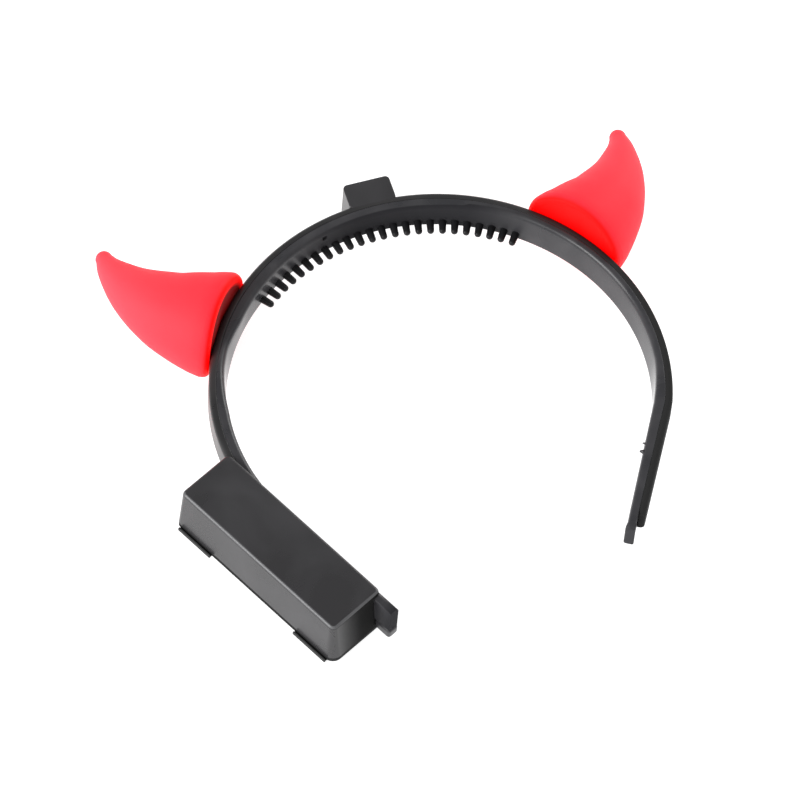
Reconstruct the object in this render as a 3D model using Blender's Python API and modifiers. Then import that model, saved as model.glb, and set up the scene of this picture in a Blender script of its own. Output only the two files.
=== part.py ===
"""Devil horns headband, lying on its side as it rests by itself.

The band frame has its origin at the centre of the head arc, +Y towards the crown lug,
+X towards the free arm and +Z across the band's width, with z = 0 at the band's lower edge.
An empty tips that frame onto its three resting points and centres it over the origin.
"""
import bpy
import bmesh
from math import atan2, cos, pi, radians, sin
from mathutils import Matrix, Vector

MM = 0.001

# Head arc and arms, measured on the outer face of the cover
ARC_RADIUS = 64.5 * MM
ARC_SQUASH = 0.969
ARC_END = radians(-20.2)
TURN_RADIUS = 15.0 * MM
ARM_LEAN = {"left": radians(27.5), "right": radians(29.9)}
BAND_WIDTH = 9.7 * MM
COVER_WALL = 2.1 * MM
CROWN_THICKNESS = 4.8 * MM
ARM_THICKNESS = 5.15 * MM
FREE_END_THICKNESS = 4.5 * MM
THINNEST_ANGLE = radians(90)
THICKEST_ANGLE = radians(40)
CLEARANCE = 0.3 * MM
EDGE_ROUND = 0.4 * MM
ARC_STEPS = 44
TURN_STEPS = 3
ARM_STEPS = 3

# Where the strips end, along the arm from the end of the turn
COVER_END = 36.0 * MM
COMB_END = 41.3 * MM
EAR_END = 49.1 * MM

# Comb pegs on the inner face
PEG_COUNT = 24
PEG_FIRST = radians(129.6)
PEG_LAST = radians(52.0)
PEG_RADIUS = 1.0 * MM
PEG_TIP = 55.7 * MM
PEG_HEIGHT = 1.7 * MM
PIN_HOLE_ANGLE = radians(104.9)
PIN_HOLE_HEIGHT = 6.4 * MM
PIN_HOLE_RADIUS = 0.65 * MM
PIN_HOLE_DEPTH = 1.0 * MM

# Lug at the crown
LUG_CENTRE = -0.45 * MM
LUG_WIDTH = 13.6 * MM
LUG_OUTER = 69.2 * MM
LUG_BOTTOM = -2.4 * MM
LUG_TOP_STEP = 0.02 * MM
LUG_CORNER = 1.3 * MM

# Battery box, in the frame of the left arm: along it from the end of the turn, and inwards
BOX_START = -16.5 * MM
BOX_END = 42.4 * MM
BOX_OUTER = -13.4 * MM
BOX_INNER = 4.85 * MM
BOX_TOP = 11.3 * MM
BOX_BOTTOM = -5.8 * MM
BOX_DRAFT = 0.7 * MM
BOX_WALL = 1.4 * MM
BOX_EDGE = 0.8 * MM
BOX_HOLLOW_INNER = -0.2 * MM
SLOT_OVERLAP = 0.05 * MM
SLOT_DEPTH = 20.0 * MM
SLOT_LENGTH = 55.0 * MM
DOOR_THICKNESS = 1.5 * MM
LEDGE_LENGTH = 12.5 * MM
LEDGE_INSET = 0.9 * MM
LEDGE_PROUD = 1.1 * MM
LEDGE_THICKNESS = 1.2 * MM
LEDGE_LIFT = 0.1 * MM

# Foot under the ear where the comb strip leaves the box
FOOT_DROP = 3.3 * MM
FOOT_INNER = 5.5 * MM
FOOT_OUTER = 1.6 * MM
FOOT_RISE = 0.4 * MM
FOOT_CORNER = 0.9 * MM
FOOT_PROUD = 0.4 * MM

# Horns: angle of each on the head arc, and their stretch away from the band
HORNS = {
    "left": {"angle": radians(144.1), "turn": -1, "stretch": 1.045},
    "right": {"angle": radians(37.0), "turn": 1, "stretch": 0.956},
}
HORN_HEIGHT = 5.4 * MM
HORN_WALL = 1.5 * MM
HORN_SIDES = 20
HORN_HOLE = 4.3 * MM
HORN_POST = 4.0 * MM
HORN_POST_HEIGHT = 6.0 * MM
# One row a section: distance out from the seat, lean towards the lug, radius, in millimetres
HORN_SECTIONS = (
    {"out": 0.0, "lean": 0.0, "radius": 14.6},
    {"out": 0.5, "lean": 0.0, "radius": 15.4},
    {"out": 1.7, "lean": 0.0, "radius": 15.75},
    {"out": 6.0, "lean": -0.4, "radius": 14.65},
    {"out": 11.3, "lean": -0.8, "radius": 12.85},
    {"out": 17.9, "lean": -0.1, "radius": 10.6},
    {"out": 24.1, "lean": 1.4, "radius": 8.2},
    {"out": 29.3, "lean": 3.7, "radius": 5.95},
    {"out": 33.6, "lean": 6.35, "radius": 3.9},
    {"out": 36.1, "lean": 8.7, "radius": 2.5},
)
LEVEL_SECTIONS = 3
SMALLEST_HOLLOW = 0.9 * MM
TIP_RINGS = 3

# Rest on both horns and the far corner of the battery door, centred over the origin
REST_TILT = radians(2.46)
REST_PLACE = (1.74 * MM, -0.88 * MM, 8.71 * MM)

MATERIALS = {
    "comb_plastic": {"colour": (0.055, 0.055, 0.060, 1.0), "roughness": 0.38},
    "cover_plastic": {"colour": (0.060, 0.058, 0.060, 1.0), "roughness": 0.45},
    "door_plastic": {"colour": (0.050, 0.050, 0.053, 1.0), "roughness": 0.50},
    "horn_plastic": {"colour": (0.950, 0.060, 0.090, 1.0), "roughness": 0.50},
}


def start_empty_scene():
    for thing in list(bpy.data.objects):
        bpy.data.objects.remove(thing, do_unlink=True)
    parts = bpy.data.collections.new("devil_horns_headband")
    cutters = bpy.data.collections.new("cutters")
    bpy.context.scene.collection.children.link(parts)
    bpy.context.scene.collection.children.link(cutters)
    return parts, cutters


def make_material(name):
    look = MATERIALS[name]
    material = bpy.data.materials.new(name)
    material.use_nodes = True
    shader = material.node_tree.nodes["Principled BSDF"]
    shader.inputs["Base Color"].default_value = look["colour"]
    shader.inputs["Roughness"].default_value = look["roughness"]
    shader.inputs["Metallic"].default_value = 0.0
    material.diffuse_color = look["colour"]
    return material


def arc_point(angle, inset=0.0):
    """Point and outward normal of the head arc, moved inwards by inset."""
    point = Vector((ARC_RADIUS * cos(angle), ARC_SQUASH * ARC_RADIUS * sin(angle)))
    normal = Vector((ARC_SQUASH * cos(angle), sin(angle))).normalized()
    return point - inset * normal, normal


def arm_start(side):
    """Where the straight arm begins, with its outward normal and direction, as on the right."""
    point, normal = arc_point(ARC_END)
    centre = point - TURN_RADIUS * normal
    lean = ARM_LEAN[side]
    outward = Vector((cos(lean), -sin(lean)))
    along = Vector((-sin(lean), -cos(lean)))
    return centre, outward, along


def arm_matrix(side):
    """Arm frame: X along the arm to its end, Y inwards to the head, Z up the band."""
    centre, outward, along = arm_start(side)
    start = centre + TURN_RADIUS * outward
    flip = 1 if side == "right" else -1
    matrix = Matrix.Identity(4)
    matrix.col[0] = (flip * along.x, along.y, 0, 0)
    matrix.col[1] = (-flip * outward.x, -outward.y, 0, 0)
    matrix.col[3] = (flip * start.x, start.y, 0, 1)
    return matrix


def thickness_at(angle):
    """Both strips and the seam: thin over the crown, fuller along the arms."""
    share = (THINNEST_ANGLE - angle) / (THINNEST_ANGLE - THICKEST_ANGLE)
    share = min(max(share, 0.0), 1.0)
    share = share * share * (3 - 2 * share)
    return CROWN_THICKNESS + (ARM_THICKNESS - CROWN_THICKNESS) * share


def half_path(side, end):
    """Stations (point, outward normal, thickness) of the outer face, crown to arm end, as on the right."""
    stations = []
    for step in range(ARC_STEPS + 1):
        angle = pi / 2 + (ARC_END - pi / 2) * step / ARC_STEPS
        point, normal = arc_point(angle)
        stations.append((point, normal, thickness_at(angle)))
    centre, outward, along = arm_start(side)
    first = atan2(stations[-1][1].y, stations[-1][1].x)
    for step in range(1, TURN_STEPS + 1):
        angle = first + (-ARM_LEAN[side] - first) * step / TURN_STEPS
        normal = Vector((cos(angle), sin(angle)))
        stations.append((centre + TURN_RADIUS * normal, normal, ARM_THICKNESS))
    last = FREE_END_THICKNESS if side == "right" else ARM_THICKNESS
    for step in range(1, ARM_STEPS + 1):
        share = step / ARM_STEPS
        point = centre + TURN_RADIUS * outward + end * share * along
        stations.append((point, outward, ARM_THICKNESS + (last - ARM_THICKNESS) * share))
    return stations


def left_half(end):
    """The left side's stations, from the arm end to the crown."""
    mirrored = []
    for point, normal, thickness in half_path("left", end):
        mirrored.append((Vector((-point.x, point.y)), Vector((-normal.x, normal.y)), thickness))
    return mirrored[::-1]


def strip_outline(stations, outer_inset, inner_inset=None):
    """Closed outline between two insets; without an inner one it takes the full thickness."""
    outer = []
    inner = []
    for point, normal, thickness in stations:
        outer.append(point - outer_inset * normal)
        inner.append(point - (thickness if inner_inset is None else inner_inset) * normal)
    return outer + inner[::-1]


def to_mesh_object(source, collection):
    """Replace a curve object by a mesh object of the same name, its caps welded on."""
    depsgraph = bpy.context.evaluated_depsgraph_get()
    mesh = bpy.data.meshes.new_from_object(source.evaluated_get(depsgraph))
    name = source.name
    matrix = source.matrix_world.copy()
    bpy.data.objects.remove(source, do_unlink=True)
    work = bmesh.new()
    work.from_mesh(mesh)
    bmesh.ops.remove_doubles(work, verts=work.verts, dist=0.00001)
    bmesh.ops.recalc_face_normals(work, faces=work.faces)
    work.transform(matrix)
    work.to_mesh(mesh)
    work.free()
    mesh.name = name
    piece = bpy.data.objects.new(name, mesh)
    collection.objects.link(piece)
    return piece


def plate(name, outline, low, high, collection, matrix=None):
    """Flat outline in XY, filled and given its height between low and high."""
    curve = bpy.data.curves.new(name, "CURVE")
    curve.dimensions = "2D"
    curve.fill_mode = "BOTH"
    curve.extrude = (high - low) / 2
    spline = curve.splines.new("POLY")
    spline.points.add(len(outline) - 1)
    for target, point in zip(spline.points, outline):
        target.co = (point[0], point[1], 0, 1)
    spline.use_cyclic_u = True
    source = bpy.data.objects.new(name, curve)
    lift = Matrix.Translation((0, 0, (low + high) / 2))
    source.matrix_world = (matrix or Matrix.Identity(4)) @ lift
    collection.objects.link(source)
    bpy.context.view_layer.update()
    return to_mesh_object(source, collection)


def rounded_rectangle(x_low, x_high, y_low, y_high, radius, steps=4):
    outline = []
    corners = ((x_high, y_high, 0), (x_low, y_high, 1), (x_low, y_low, 2), (x_high, y_low, 3))
    for x, y, quarter in corners:
        centre_x = x - radius if x == x_high else x + radius
        centre_y = y - radius if y == y_high else y + radius
        for step in range(steps + 1):
            angle = pi / 2 * (quarter + step / steps)
            outline.append((centre_x + radius * cos(angle), centre_y + radius * sin(angle)))
    return outline


def box(name, low, high, collection, matrix=None, spread=0.0):
    """Block between two corners; spread widens its lower face outwards, as a mould's draft."""
    work = bmesh.new()
    bmesh.ops.create_cube(work, size=1.0)
    size = [b - a for a, b in zip(low, high)]
    middle = [(a + b) / 2 for a, b in zip(low, high)]
    bmesh.ops.scale(work, vec=size, verts=work.verts)
    for vert in work.verts:
        if spread and vert.co.z < 0:
            vert.co.x += spread if vert.co.x > 0 else -spread
            vert.co.y -= spread if vert.co.y < 0 else 0.0
    bmesh.ops.translate(work, vec=middle, verts=work.verts)
    mesh = bpy.data.meshes.new(name)
    work.to_mesh(mesh)
    work.free()
    if matrix:
        mesh.transform(matrix)
    piece = bpy.data.objects.new(name, mesh)
    collection.objects.link(piece)
    return piece


def cylinder(name, start, direction, length, radius, sides, collection):
    work = bmesh.new()
    bmesh.ops.create_cone(work, cap_ends=True, segments=sides, radius1=radius, radius2=radius, depth=length)
    bmesh.ops.translate(work, vec=(0, 0, length / 2), verts=work.verts)
    turn = Vector(direction).to_track_quat("Z", "Y").to_matrix().to_4x4()
    mesh = bpy.data.meshes.new(name)
    work.transform(Matrix.Translation(start) @ turn)
    work.to_mesh(mesh)
    work.free()
    piece = bpy.data.objects.new(name, mesh)
    collection.objects.link(piece)
    return piece


def bevel(piece, width, segments=2, angle=radians(40)):
    modifier = piece.modifiers.new("rounded_edges", "BEVEL")
    modifier.width = width
    modifier.segments = segments
    modifier.limit_method = "ANGLE"
    modifier.angle_limit = angle
    return modifier


def combine(piece, other, operation):
    """Exact Boolean of piece with another object, which is then kept as a hidden cutter."""
    modifier = piece.modifiers.new(other.name, "BOOLEAN")
    modifier.operation = operation
    modifier.solver = "EXACT"
    modifier.object = other
    other.hide_render = True
    other.display_type = "WIRE"


def comb_pegs(collection):
    """Round-ended pegs standing inwards on the lower half of the comb strip, as one mesh."""
    work = bmesh.new()
    for index in range(PEG_COUNT):
        angle = PEG_FIRST + (PEG_LAST - PEG_FIRST) * index / (PEG_COUNT - 1)
        root, normal = arc_point(angle, CROWN_THICKNESS)
        length = ARC_RADIUS - PEG_TIP - CROWN_THICKNESS
        peg = bmesh.ops.create_uvsphere(work, u_segments=8, v_segments=6, radius=PEG_RADIUS)["verts"]
        for vert in peg:
            if vert.co.z > PEG_RADIUS / 10:
                vert.co.z += length - PEG_RADIUS
        turn = Vector((-normal.x, -normal.y, 0)).to_track_quat("Z", "Y").to_matrix().to_4x4()
        seat = Matrix.Translation((root.x, root.y, PEG_HEIGHT))
        bmesh.ops.transform(work, matrix=seat @ turn, verts=peg)
    mesh = bpy.data.meshes.new("comb_pegs")
    work.to_mesh(mesh)
    work.free()
    pegs = bpy.data.objects.new("comb_pegs", mesh)
    collection.objects.link(pegs)
    return pegs


def make_comb_band(parts, cutters):
    stations = left_half(EAR_END) + half_path("right", COMB_END)[1:]
    outline = strip_outline(stations, COVER_WALL + CLEARANCE)
    band = plate("comb_band", outline, 0.0, BAND_WIDTH, parts)
    bevel(band, EDGE_ROUND * 2)
    combine(band, comb_pegs(cutters), "UNION")

    # Foot: a rounded lip below the ear, drawn across the arm and run along it
    profile = rounded_rectangle(FOOT_OUTER, FOOT_INNER, -FOOT_DROP, FOOT_RISE, FOOT_CORNER)
    across = arm_matrix("left") @ Matrix(((0, 0, 1, 0), (1, 0, 0, 0), (0, 1, 0, 0), (0, 0, 0, 1)))
    foot_start = BOX_END + BOX_DRAFT + 2 * CLEARANCE
    foot = plate("ear_foot", profile, foot_start, EAR_END + FOOT_PROUD, cutters, across)
    combine(band, foot, "UNION")

    point, normal = arc_point(PIN_HOLE_ANGLE, CROWN_THICKNESS - PIN_HOLE_DEPTH)
    hole = cylinder("pin_hole", (point.x, point.y, PIN_HOLE_HEIGHT), (-normal.x, -normal.y, 0),
                    3 * PIN_HOLE_DEPTH, PIN_HOLE_RADIUS, 10, cutters)
    combine(band, hole, "DIFFERENCE")
    return band


def horn_frame(side):
    """Horn frame: X towards the lug, Y across the band, Z outwards, origin on the cover's face."""
    horn = HORNS[side]
    point, normal = arc_point(horn["angle"])
    matrix = Matrix.Identity(4)
    matrix.col[0] = (-horn["turn"] * normal.y, horn["turn"] * normal.x, 0, 0)
    matrix.col[1] = (0, 0, horn["turn"], 0)
    matrix.col[2] = (normal.x, normal.y, 0, 0)
    matrix.col[3] = (point.x, point.y, HORN_HEIGHT, 1)
    return matrix


def make_outer_cover(parts, cutters):
    """Cover strip, crown lug, horn posts and battery housing: one moulding."""
    left = arm_matrix("left")
    under_box = left_half(EAR_END)[ARM_STEPS:]
    stations = under_box + half_path("right", COVER_END)[1:]
    outline = strip_outline(stations, 0.0, COVER_WALL)
    cover = plate("outer_cover", outline, 0.0, BAND_WIDTH, parts)
    bevel(cover, EDGE_ROUND)

    lug_outline = rounded_rectangle(LUG_CENTRE - LUG_WIDTH / 2, LUG_CENTRE + LUG_WIDTH / 2,
                                    ARC_RADIUS * ARC_SQUASH - LUG_CORNER, LUG_OUTER, LUG_CORNER)
    lug = plate("crown_lug", lug_outline, LUG_BOTTOM, BAND_WIDTH - LUG_TOP_STEP, cutters)
    bevel(lug, EDGE_ROUND)
    combine(cover, lug, "UNION")

    for side in HORNS:
        frame = horn_frame(side)
        post = cylinder("horn_post_" + side, frame @ Vector((0, 0, -COVER_WALL / 2)), frame.col[2].to_3d(),
                        COVER_WALL / 2 + HORN_POST_HEIGHT, HORN_POST, 20, cutters)
        combine(cover, post, "UNION")

    door_top = BOX_BOTTOM + DOOR_THICKNESS
    housing = box("battery_housing", (BOX_START, BOX_OUTER, door_top + CLEARANCE),
                  (BOX_END, BOX_INNER, BOX_TOP), cutters, left, BOX_DRAFT)
    bevel(housing, BOX_EDGE, 3)
    combine(cover, housing, "UNION")
    hollow = box("battery_hollow", (BOX_START + BOX_WALL, BOX_OUTER + BOX_WALL, BOX_BOTTOM),
                 (BOX_END - BOX_WALL, BOX_HOLLOW_INNER, BOX_TOP - BOX_WALL), cutters, left)
    combine(cover, hollow, "DIFFERENCE")

    # Slot in which the comb strip passes under the edge of the box
    slot_path = left_half(SLOT_LENGTH)[:ARC_STEPS // 2]
    slot_outline = strip_outline(slot_path, COVER_WALL - SLOT_OVERLAP, SLOT_DEPTH)
    slot = plate("comb_slot", slot_outline, -CLEARANCE, BAND_WIDTH + CLEARANCE, cutters)
    combine(cover, slot, "DIFFERENCE")
    return cover


def make_battery_door(parts, cutters):
    """Flat base of the box with two latch ledges along its outer edge."""
    left = arm_matrix("left")
    low, high = BOX_BOTTOM, BOX_BOTTOM + DOOR_THICKNESS
    outer = BOX_OUTER - BOX_DRAFT
    door = box("battery_door", (BOX_START - BOX_DRAFT, outer, low),
               (BOX_END + BOX_DRAFT, BOX_INNER, high), parts, left)
    bevel(door, EDGE_ROUND, 1)
    starts = (BOX_START + LEDGE_INSET, BOX_END - LEDGE_INSET - LEDGE_LENGTH)
    for number, start in enumerate(starts, 1):
        ledge = box("latch_ledge_%d" % number, (start, outer - LEDGE_PROUD, low + LEDGE_LIFT),
                    (start + LEDGE_LENGTH, outer + 2 * LEDGE_PROUD, low + LEDGE_THICKNESS), cutters, left)
        bevel(ledge, EDGE_ROUND / 2, 1)
        combine(door, ledge, "UNION")
    return door


def horn_rings(side, inset):
    """Centre, direction and radius of each ring of a horn's skin, in the horn frame."""
    stretch = HORNS[side]["stretch"]
    seats = [Vector((row["lean"] * MM, 0, CLEARANCE + stretch * row["out"] * MM)) for row in HORN_SECTIONS]
    rings = []
    for index, row in enumerate(HORN_SECTIONS):
        before = seats[max(index - 1, 0)]
        after = seats[min(index + 1, len(seats) - 1)]
        direction = (after - before).normalized() if index > LEVEL_SECTIONS else Vector((0, 0, 1))
        rings.append((seats[index], direction, row["radius"] * MM - inset))
    return rings


def horn_skin(name, side, inset, collection):
    """Closed loft of round rings from the seat to a rounded tip."""
    rings = horn_rings(side, inset)
    if inset:
        rings = [ring for ring in rings[1:] if ring[2] > SMALLEST_HOLLOW]
        centre, direction, radius = rings[0]
        rings[0] = (Vector((0, 0, CLEARANCE + HORN_WALL)), direction, radius)
        rings[1] = (rings[1][0] + Vector((0, 0, HORN_WALL)), rings[1][1], rings[1][2])
    centre, direction, radius = rings[-1]
    for step in range(1, TIP_RINGS):
        angle = pi / 2 * step / TIP_RINGS
        rings.append((centre + direction * radius * sin(angle), direction, radius * cos(angle)))
    work = bmesh.new()
    loops = []
    for place, axis, size in rings:
        side_axis = Vector((0, 1, 0))
        lean_axis = side_axis.cross(axis).normalized()
        loop = []
        for number in range(HORN_SIDES):
            angle = 2 * pi * number / HORN_SIDES
            loop.append(work.verts.new(place + size * (cos(angle) * lean_axis + sin(angle) * side_axis)))
        loops.append(loop)
    tip = work.verts.new(centre + direction * radius)
    edges = []
    for loop in loops:
        edges.append([work.edges.new((loop[i], loop[(i + 1) % HORN_SIDES])) for i in range(HORN_SIDES)])
    for first, second in zip(edges, edges[1:]):
        bmesh.ops.bridge_loops(work, edges=first + second)
    for number in range(HORN_SIDES):
        work.faces.new((loops[-1][number], loops[-1][(number + 1) % HORN_SIDES], tip))
    work.faces.new(loops[0])
    work.transform(horn_frame(side))
    bmesh.ops.recalc_face_normals(work, faces=work.faces)
    mesh = bpy.data.meshes.new(name)
    work.to_mesh(mesh)
    work.free()
    skin = bpy.data.objects.new(name, mesh)
    collection.objects.link(skin)
    return skin


def make_horn(side, parts, cutters):
    """Hollow soft horn with a round hole in its flat back for the post."""
    horn = horn_skin("horn_" + side, side, 0.0, parts)
    combine(horn, horn_skin("horn_hollow_" + side, side, HORN_WALL, cutters), "DIFFERENCE")
    frame = horn_frame(side)
    hole = cylinder("horn_hole_" + side, frame @ Vector((0, 0, -HORN_WALL)), frame.col[2].to_3d(),
                    HORN_WALL * 3, HORN_HOLE, 20, cutters)
    combine(horn, hole, "DIFFERENCE")
    return horn


def dress(piece, material, parent):
    piece.data.materials.clear()
    piece.data.materials.append(material)
    piece.data.shade_smooth()
    piece.data.set_sharp_from_angle(angle=radians(35))
    piece.parent = parent


def main():
    parts, cutters = start_empty_scene()
    materials = {name: make_material(name) for name in MATERIALS}
    rest = bpy.data.objects.new("rest_on_surface", None)
    parts.objects.link(rest)
    rest.rotation_euler = (REST_TILT, 0, 0)
    rest.location = REST_PLACE
    pieces = [
        (make_comb_band(parts, cutters), "comb_plastic"),
        (make_outer_cover(parts, cutters), "cover_plastic"),
        (make_battery_door(parts, cutters), "door_plastic"),
        (make_horn("left", parts, cutters), "horn_plastic"),
        (make_horn("right", parts, cutters), "horn_plastic"),
    ]
    for piece, material in pieces:
        dress(piece, materials[material], rest)
    for cutter in cutters.objects:
        cutter.parent = rest
        cutter.hide_render = True
        cutter.display_type = "WIRE"
    bpy.context.view_layer.update()


main()
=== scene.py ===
from math import atan2, cos, pi, radians, sin

import bmesh
import bpy
from mathutils import Matrix, Vector


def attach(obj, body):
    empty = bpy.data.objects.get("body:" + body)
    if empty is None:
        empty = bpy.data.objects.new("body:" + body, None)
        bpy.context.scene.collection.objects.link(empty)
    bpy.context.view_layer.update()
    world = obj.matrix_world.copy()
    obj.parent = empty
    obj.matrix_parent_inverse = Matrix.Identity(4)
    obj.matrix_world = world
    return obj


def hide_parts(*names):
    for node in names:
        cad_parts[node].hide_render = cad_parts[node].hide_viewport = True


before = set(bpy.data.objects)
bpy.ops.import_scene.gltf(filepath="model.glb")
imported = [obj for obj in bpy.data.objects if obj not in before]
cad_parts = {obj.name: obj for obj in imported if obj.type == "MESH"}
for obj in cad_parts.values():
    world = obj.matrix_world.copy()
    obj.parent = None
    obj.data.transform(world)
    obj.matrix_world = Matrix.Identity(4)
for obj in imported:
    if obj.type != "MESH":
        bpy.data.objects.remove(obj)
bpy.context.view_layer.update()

mm = 0.001
weldDistance = 0.000002

# The band is drawn flat, with its lower edge at z = 0, then laid down the way it rests
layDown = {"tilt": radians(2.46), "place": (1.74 * mm, -0.88 * mm, 8.71 * mm)}
toRest = Matrix.Translation(layDown["place"]) @ Matrix.Rotation(layDown["tilt"], 4, "X")

headArc = {
    "radius": 64.5 * mm,
    "squash": 0.969,
    "end": radians(-20.2),
    "turn": 15.0 * mm,
    "lean": {"left": radians(27.5), "right": radians(29.9)},
    "width": 9.7 * mm,
    "crownThickness": 4.8 * mm,
    "armThickness": 5.15 * mm,
    "freeEndThickness": 4.5 * mm,
    "fullerFrom": radians(90),
    "fullerOver": radians(50),
    "arcSteps": 72,
    "turnSteps": 5,
    "armSteps": 8,
}


def clamp(value):
    return min(max(value, 0.0), 1.0)


def arcPoint(angle, inset=0.0):
    # point and outward normal on the outer face of the head arc
    radius, squash = headArc["radius"], headArc["squash"]
    point = Vector((radius * cos(angle), squash * radius * sin(angle), 0))
    normal = Vector((squash * cos(angle), sin(angle), 0)).normalized()
    return point - inset * normal, normal


def arcPlace(point):
    # angle of a point round the arc, from -90 degrees up, and its reach from the middle
    across = point.y / headArc["squash"]
    angle = atan2(across, point.x)
    if angle < -pi / 2:
        angle += 2 * pi
    return angle, Vector((point.x, across)).length


def armStart(side):
    # start of the straight arm, its outward normal and its direction, drawn on the right
    point, normal = arcPoint(headArc["end"])
    centre = point - headArc["turn"] * normal
    lean = headArc["lean"][side]
    outward = Vector((cos(lean), -sin(lean), 0))
    along = Vector((-sin(lean), -cos(lean), 0))
    return centre, outward, along


def armFrame(side):
    # X along the arm to its end, Y inwards to the head, Z up the band
    centre, outward, along = armStart(side)
    flip = 1 if side == "right" else -1
    start = centre + headArc["turn"] * outward
    placed = Matrix.Identity(4)
    placed.col[0] = (flip * along.x, along.y, 0, 0)
    placed.col[1] = (-flip * outward.x, -outward.y, 0, 0)
    placed.col[3] = (flip * start.x, start.y, 0, 1)
    return placed


def thicknessAt(angle):
    # thin over the crown, fuller along the arms
    share = clamp((headArc["fullerFrom"] - angle) / headArc["fullerOver"])
    share = share * share * (3 - 2 * share)
    return headArc["crownThickness"] + (headArc["armThickness"] - headArc["crownThickness"]) * share


def halfPath(side, length):
    # point, outward normal and thickness from the crown to the arm's end
    path = []
    steps = headArc["arcSteps"]
    for step in range(steps + 1):
        angle = pi / 2 + (headArc["end"] - pi / 2) * step / steps
        point, normal = arcPoint(angle)
        path.append((point, normal, thicknessAt(angle)))
    centre, outward, along = armStart(side)
    first = atan2(path[-1][1].y, path[-1][1].x)
    last = -headArc["lean"][side]
    for step in range(1, headArc["turnSteps"] + 1):
        angle = first + (last - first) * step / headArc["turnSteps"]
        normal = Vector((cos(angle), sin(angle), 0))
        path.append((centre + headArc["turn"] * normal, normal, headArc["armThickness"]))
    endThickness = headArc["freeEndThickness"] if side == "right" else headArc["armThickness"]
    for step in range(1, headArc["armSteps"] + 1):
        share = step / headArc["armSteps"]
        point = centre + headArc["turn"] * outward + length * share * along
        thickness = headArc["armThickness"] + (endThickness - headArc["armThickness"]) * share
        path.append((point, outward, thickness))
    if side == "left":
        mirror = Matrix.Scale(-1, 3, (1, 0, 0))
        path = [(mirror @ point, mirror @ normal, thickness) for point, normal, thickness in path]
    return path


def bandPath(leftLength, rightLength, leftSkip=0):
    left = halfPath("left", leftLength)[::-1]
    return left[leftSkip:] + halfPath("right", rightLength)[1:]


def sectionFrames(path, firstInset, lastInset=None):
    # frames for a unit section: X from the outer to the inner inset, Z over the band's width
    frames = []
    for point, normal, thickness in path:
        inner = thickness if lastInset is None else lastInset
        placed = Matrix.Identity(4)
        placed.col[0] = (-normal * (inner - firstInset)).to_4d()
        placed.col[0][3] = 0
        placed.col[1] = (-normal.y, normal.x, 0, 0)
        placed.col[2] = (0, 0, headArc["width"], 0)
        placed.col[3] = (point - firstInset * normal).to_4d()
        frames.append(placed)
    return frames


def roundedOutline(bm, box, height, corners, segments=6):
    # rounded rectangle at a height; corners are (nearer start, nearer outside): radius
    (startX, endX), (outerY, innerY) = box
    middle = ((startX + endX) / 2, (outerY + innerY) / 2)
    older = set(bm.verts)
    made = bmesh.ops.create_grid(bm, x_segments=1, y_segments=1, size=0.5)["verts"]
    bmesh.ops.scale(bm, vec=(endX - startX, innerY - outerY, 1), verts=made)
    bmesh.ops.translate(bm, vec=(*middle, height), verts=made)
    for (nearStart, nearOuter), radius in corners.items():
        corner = [v for v in made if v.is_valid and (v.co.x < middle[0]) == nearStart
                  and (v.co.y < middle[1]) == nearOuter]
        bmesh.ops.bevel(bm, geom=corner, offset=radius, segments=segments, profile=0.5,
                        affect="VERTICES", material=-1)
    return [f for f in bm.faces if not older.intersection(f.verts)][0]


def sectionFace(bm, depth, corners, segments):
    # a rounded rectangle of the section's real size, shrunk to a unit section and stood up
    face = roundedOutline(bm, ((0, depth), (0, headArc["width"])), 0, corners, segments)
    bmesh.ops.scale(bm, vec=(1 / depth, 1 / headArc["width"], 1), verts=face.verts[:])
    bmesh.ops.rotate(bm, matrix=Matrix.Rotation(pi / 2, 3, "X"), verts=face.verts[:])
    return face


def growCap(bm, face, keep):
    # extrude a cap, and take the old one out of the inside
    grown = bmesh.ops.extrude_face_region(bm, geom=[face])["geom"]
    if not keep:
        bmesh.ops.delete(bm, geom=[face], context="FACES_ONLY")
    return [part for part in grown if isinstance(part, bmesh.types.BMFace)][0]


def sweep(bm, face, frames):
    # extrude the section from frame to frame
    bmesh.ops.transform(bm, matrix=frames[0], verts=face.verts[:])
    for index in range(1, len(frames)):
        face = growCap(bm, face, index == 1)
        step = frames[index] @ frames[index - 1].inverted()
        bmesh.ops.transform(bm, matrix=step, verts=face.verts[:])


def finishPiece(name, bm, material, nodes, sharp=32, crisp=True):
    bmesh.ops.remove_doubles(bm, verts=bm.verts, dist=weldDistance)
    bmesh.ops.recalc_face_normals(bm, faces=bm.faces)
    bm.transform(toRest)
    mesh = bpy.data.meshes.new(name)
    bm.to_mesh(mesh)
    bm.free()
    piece = bpy.data.objects.new(name, mesh)
    bpy.context.scene.collection.objects.link(piece)
    mesh.materials.append(material)
    mesh.shade_smooth()
    mesh.set_sharp_from_angle(angle=radians(sharp))
    if crisp:
        flats = piece.modifiers.new("crispFlats", "WEIGHTED_NORMAL")
        flats.keep_sharp = True
    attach(piece, "root")
    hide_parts(*nodes)


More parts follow.
